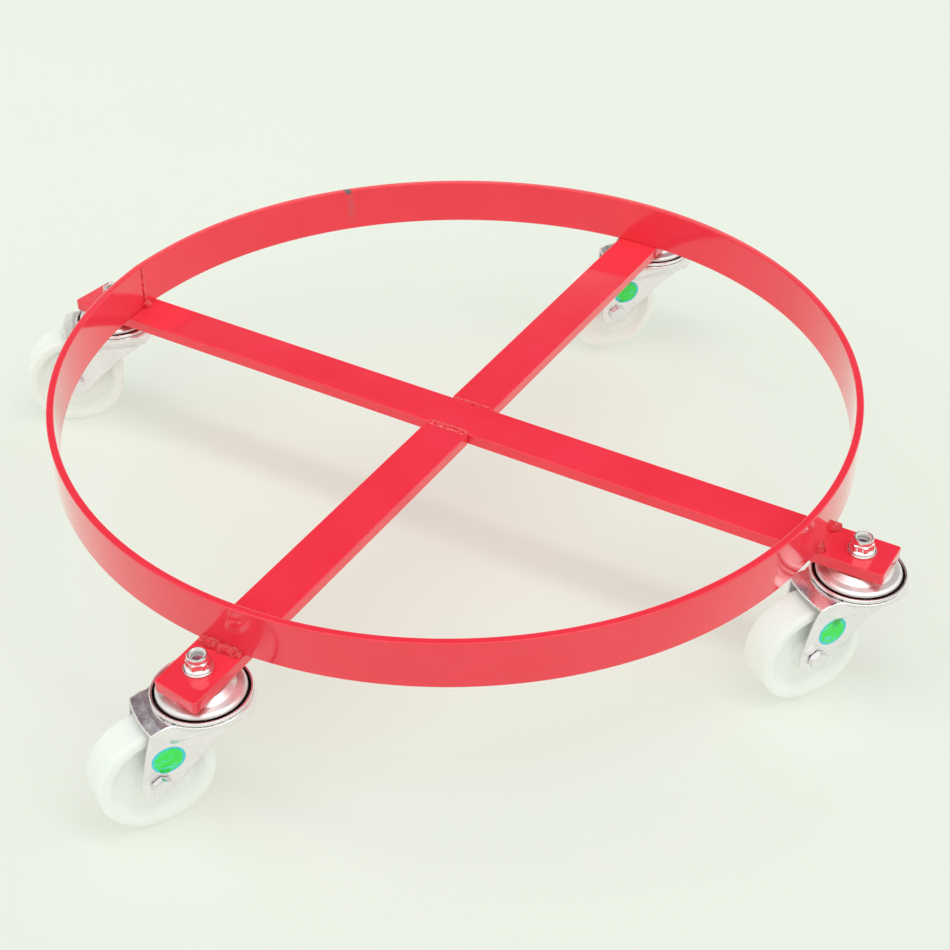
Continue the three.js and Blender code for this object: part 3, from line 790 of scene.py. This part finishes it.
race = [(KING_BORE_R, -2.6), (7.2, -2.6), (7.2, -16.8), (9.2, -17.9), (12, -17.9)]
race += [(13.3, -16.5), (14.5, -16.5), (13.6, -19.1), (KING_BORE_R, -19.1)]
LOWER_RACE = make_mesh("lower_race", turned(rounded(race, 0.5), 72), PRESSED)
UPPER_BALLS = make_mesh("upper_balls", ball_row(21.5, 2.45, -9.3, 26), BALL_STEEL)
LOWER_BALLS = make_mesh("lower_balls", ball_row(11.2, 1.6, -15.9, 20), BALL_STEEL)


def with_gap_shade(mesh, inside):
    """Gives the faces that lie inside the bearing, by their place in millimetres, the near-black painted
    shade.
    """
    mesh.materials.append(GAP_SHADE)
    for face in mesh.polygons:
        if inside(face.center / MM, face.normal):
            face.material_index = 1
    return mesh


def fork_mesh():
    """The pressed fork, evened out and thinned, with its rolled rim turned separately."""
    mesh = make_mesh("pressed_fork", fork_surface(FORK_GRID), PRESSED)
    shape = bpy.data.objects.new("fork_shape", mesh)
    even = shape.modifiers.new("even", "SMOOTH")
    even.factor, even.iterations = 0.5, 4
    lighter = shape.modifiers.new("lighter", "DECIMATE")
    lighter.ratio = 0.35
    light = evaluated(shape)
    rolled = [(28.6, -13.3), (29.6, -11.8), (31.1, -10), (31.5, -8.6), (32.0, -7.8), (33.0, -7.8)]
    rolled += [(33.6, -8.6), (33.6, -9.6), (33.0, -10.5), (32.4, -11), (32.4, -13.6), (29, -14.2)]
    rim = turned(rounded(rolled, 0.45, 4, 0.2), 144)
    sheet = [v.co / MM for v in light.vertices], [tuple(face.vertices) for face in light.polygons]
    # The ball track and the groove under the rim get near-black painted shade.
    return with_gap_shade(make_mesh("pressed_fork", merged(sheet, rim), PRESSED), inside_bearing)


def inside_bearing(at, normal):
    """True in the ball track and at the bottom of the groove under the rolled rim, where the painted shade
    goes.
    """
    r = math.hypot(at.x, at.y)
    groove = r < 32.6 and -12.6 < at.z < -10.8 and normal.x * at.x + normal.y * at.y > 0
    return groove or (r < 31.5 and -12.6 < at.z < -8.4)


FORK = fork_mesh()
FORK_TREE = BVHTree.FromPolygons([v.co for v in FORK.vertices], [face.vertices for face in FORK.polygons])
# The cap's downward faces get the near-black painted shade.
TOP_CAP = with_gap_shade(TOP_CAP, lambda at, normal: normal.z < -0.3)


def label(side, x, z, lean):
    """A round film label pressed onto a leg's outer face, in the caster's frame. side is 1 or -1."""
    radii = [0.01, 2, 4, 6, 8, 9.4, 9.6, LABEL_R - 0.4, LABEL_R, LABEL_R + 0.1]
    lift = [0.14, 0.14, 0.14, 0.14, 0.13, 0.12, 0.12, 0.11, 0.07, 0.0]
    angle = np.linspace(0, 2 * math.pi, 72, endpoint=False)
    rows = []
    for r, h in [*zip(radii, lift), (0.01, 0.0)]:
        across, along = r * 1.04 * np.cos(angle), r * 0.96 * np.sin(angle)
        at_x = x + across * math.cos(lean) - along * math.sin(lean)
        at_z = z + across * math.sin(lean) + along * math.cos(lean)
        for px, pz in zip(at_x, at_z):
            hit = FORK_TREE.ray_cast(Vector((px, 60 * side, pz)) * MM, (0, -side, 0))[0]
            rows.append((px, hit.y / MM + side * (h + 0.03), pz))
    part = rows, quads(len(radii) + 1, len(angle), False, True)
    mesh = make_mesh("round_label", part, LABEL_GREEN, LABEL_BORDER)
    for face in mesh.polygons:
        out = math.hypot(face.center.x - x * MM, face.center.z - z * MM)
        face.material_index = 1 if out > 9.5 * MM else 0
    return mesh


# Axle pieces lie along Z here and are turned onto the caster's Y.
head_low = LEG_OUTSIDE + BOSS_HEIGHT + 0.1
axle_r = AXLE_R - 0.05
axle_shank = [(0.01, -head_low), (axle_r, -head_low), (axle_r, head_low + 0.5), (0.01, head_low + 0.5)]
AXLE_BOLT = make_mesh(
    "axle_bolt",
    merged(
        hexagonal(AXLE_HEX, head_low, head_low + 5.3, 0.0),
        turned(rounded(axle_shank, 0.2), 40),
        moved(threaded(AXLE_R, head_low - 1, head_low + 7.8), Matrix.Rotation(math.pi, 4, "X")),
    ),
    BRIGHT,
    sharp=38,
)
AXLE_NUT = make_mesh("axle_nut", hexagonal(AXLE_HEX, -head_low - 6.5, -head_low, 4.1), BRIGHT, sharp=38)
sleeve = rounded([(AXLE_HOLE_R, -14.7), (6, -14.7), (6, 14.7), (AXLE_HOLE_R, 14.7)], 0.3)
AXLE_SLEEVE = make_mesh("axle_sleeve", turned(sleeve, 48), BRIGHT)

wheel_side = [(6.15, WHEEL_HALF, 0.5), (11.2, WHEEL_HALF, 1.2), (13.6, 8.6, 2.5), (27.5, 8.0, 4)]
wheel_side += [(32.5, WHEEL_HALF - 0.3, 2.2), (WHEEL_R, WHEEL_HALF - 0.3, 3.4)]
wheel = wheel_side + [(r, -z, corner) for r, z, corner in reversed(wheel_side)]
WHEEL = make_mesh("nylon_wheel", turned(rounded(wheel, 1, 8, 0.4), 160), NYLON)

# ---- Casters in place ----

for name in CASTERS:
    swivel_at = Vector(joints[f"swivel_{name}"]["pos_m"])
    axle_at = Vector(joints[f"wheel_spin_{name}"]["pos_m"])
    trail = math.atan2(axle_at.y - swivel_at.y, axle_at.x - swivel_at.x)
    heading = Matrix.Rotation(trail, 4, "Z")
    caster = Matrix.Translation(swivel_at) @ heading
    axle = Matrix.Translation(axle_at) @ heading @ Matrix.Rotation(-math.pi / 2, 4, "X")
    turn = CASTERS.index(name)
    bolt = caster @ Matrix.Rotation(0.5 * turn + 0.2, 4, "Z")
    spin = axle @ Matrix.Rotation(0.7 * turn, 4, "Z")
    swivel, rolling = f"swivel_{name}", f"rolling_wheel_{name}"
    place(WASHER, f"washer_plated_{name}", "frame", [f"washer_{name}"], "bright_zinc", bolt)
    place(LOCK_NUT, f"lock_nut_plated_{name}", "frame", [f"lock_nut_{name}"], "bright_zinc", bolt)
    place(INSERT, f"lock_nut_insert_{name}", "frame", (), "nylon", bolt)
    king_bolt = f"mounting_bolt_{name}"
    place(MOUNTING_BOLT, f"mounting_bolt_plated_{name}", "frame", [king_bolt], "bright_zinc", bolt)
    place(TOP_CAP, f"top_cap_pressed_{name}", "frame", [f"top_cap_{name}"], "zinc_plate", caster)
    place(LOWER_RACE, f"lower_race_pressed_{name}", "frame", [f"lower_race_{name}"], "zinc_plate", caster)
    place(UPPER_BALLS, f"upper_balls_{name}", swivel, [f"upper_ball_ring_{name}"], "bright_zinc", caster)
    place(LOWER_BALLS, f"lower_balls_{name}", swivel, [f"lower_ball_ring_{name}"], "bright_zinc", caster)
    fork = place(FORK, f"fork_pressed_{name}", swivel, [f"fork_{name}"], "zinc_plate", caster)
    fork.modifiers.new("flat_faces_stay_flat", "WEIGHTED_NORMAL").weight = 80
    place(label(*LABELS[name]), f"round_label_{name}", swivel, (), None, caster)
    place(AXLE_BOLT, f"axle_bolt_plated_{name}", swivel, [f"axle_bolt_{name}"], "zinc_plate", axle)
    place(AXLE_NUT, f"axle_nut_plated_{name}", swivel, [f"axle_nut_{name}"], "zinc_plate", axle)
    place(AXLE_SLEEVE, f"axle_sleeve_steel_{name}", swivel, [f"axle_sleeve_{name}"], "bright_zinc", axle)
    place(WHEEL, f"nylon_wheel_{name}", rolling, [f"wheel_{name}"], "nylon", spin)

# ---- Floor, backdrop and light ----

FLOOR_Z = -BAR_THICKNESS - AXLE_DROP - WHEEL_R - 0.1
FLOOR_R = 4200
BEND_R = 1600
WALL_HEIGHT = 3400


def studio_sweep():
    """A round floor that curves up into a wall on every side."""
    bend = np.linspace(0, math.pi / 2, 24)
    flat = np.linspace(0, FLOOR_R, 40)
    r = np.concatenate([flat, FLOOR_R + BEND_R * np.sin(bend), [FLOOR_R + BEND_R]])
    z = np.concatenate([0 * flat, BEND_R - BEND_R * np.cos(bend), [WALL_HEIGHT]]) + FLOOR_Z
    angle = np.linspace(0, 2 * math.pi, 96, endpoint=False)[None]
    return about_z(r[:, None], angle, z[:, None]).reshape(-1, 3), quads(len(r), 96, False, True)


glow = (0.325, 0.340, 0.305, 1)
paper = Surface("studio_paper", Roughness=0.75, Emission_Strength=1.0, Emission_Color=glow)
paper.shader.inputs["Specular IOR Level"].default_value = 0.1
tone = paper.mix(paper.spread(paper.noise(1.6, 3), 0, 1), (0.450, 0.468, 0.436), (0.465, 0.476, 0.448))
paper.set(Base_Color=tone, Normal=paper.bump(paper.noise(260, 3), 0.05))
sweep = bpy.data.objects.new("studio_sweep", make_mesh("studio_sweep", studio_sweep(), paper.material))
bpy.context.scene.collection.objects.link(sweep)

world = bpy.data.worlds.new("studio")
bpy.context.scene.world = world
world.use_nodes = True
nodes, links = world.node_tree.nodes, world.node_tree.links
# A bright dome with one dark mauve patch, which the flat tongues and the caps mirror.
toward = nodes.new("ShaderNodeVectorMath")
toward.operation = "DOT_PRODUCT"
toward.inputs[1].default_value = Vector((-0.48, 0.56, 0.68)).normalized()
links.new(nodes.new("ShaderNodeTexCoord").outputs["Generated"], toward.inputs[0])
ramp = nodes.new("ShaderNodeValToRGB")
links.new(toward.outputs["Value"], ramp.inputs[0])
stops = ramp.color_ramp.elements
stops[0].position, stops[0].color = 0.69, (1.0, 1.04, 0.99, 1)
stops[1].position, stops[1].color = 0.79, (0.09, 0.05, 0.07, 1)
links.new(ramp.outputs[0], nodes["Background"].inputs["Color"])
nodes["Background"].inputs["Strength"].default_value = 1.0

lamp_data = bpy.data.lights.new("overhead_strip", "AREA")
lamp_data.shape = "RECTANGLE"
lamp_data.size, lamp_data.size_y = 4.0, 0.5
lamp_data.energy = 18
lamp_data.color = (0.85, 1.0, 0.94)
lamp = bpy.data.objects.new("overhead_strip", lamp_data)
lamp.location = (0, 0.05, 2.6)
bpy.context.scene.collection.objects.link(lamp)

# ---- Camera ----

CAMERA_AT = (0.5845, -0.9505, 0.7798)
azimuth, elevation, roll = math.radians(30.85), math.radians(37.05), math.radians(-0.41)
level = math.cos(elevation)
back = Vector((math.sin(azimuth) * level, -math.cos(azimuth) * level, math.sin(elevation)))
right = Vector((math.cos(azimuth), math.sin(azimuth), 0))
up = back.cross(right)
camera_data = bpy.data.cameras.new("camera")
camera_data.sensor_width = 36
camera_data.lens = 67.63
camera = bpy.data.objects.new("camera", camera_data)
across = right * math.cos(roll) + up * math.sin(roll)
upward = up * math.cos(roll) - right * math.sin(roll)
axes = Matrix((across, upward, back)).transposed().to_4x4()
camera.matrix_world = Matrix.Translation(CAMERA_AT) @ axes
bpy.context.scene.collection.objects.link(camera)
bpy.context.scene.camera = camera
bpy.context.scene.view_settings.view_transform = "Standard"
bpy.context.scene.view_settings.exposure = 0.25
